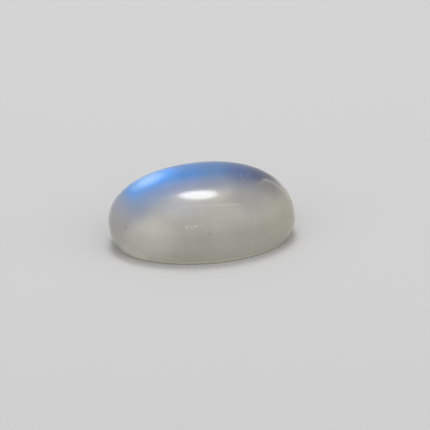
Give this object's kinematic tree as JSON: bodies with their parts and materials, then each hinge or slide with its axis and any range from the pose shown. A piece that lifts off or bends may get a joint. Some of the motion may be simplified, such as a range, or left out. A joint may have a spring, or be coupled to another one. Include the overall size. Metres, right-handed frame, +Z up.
{
  "type": "moonstone cabochon",
  "caption": "Polished oval moonstone cabochon with a high dome, a girdle and a flat base, milky white with a blue sheen.",
  "frame": {"origin": "middle of the flat base", "axes": "+X along the stone's length, towards the end that the dome's top leans to, +Z up through the dome"},
  "size_m": [0.014, 0.0104, 0.0056],
  "materials": {
    "moonstone": "polished, milky and translucent, with a blue sheen along the crest of the dome"
  },
  "bodies": {
    "root": {"moonstone": "moonstone"}
  },
  "joints": []
}
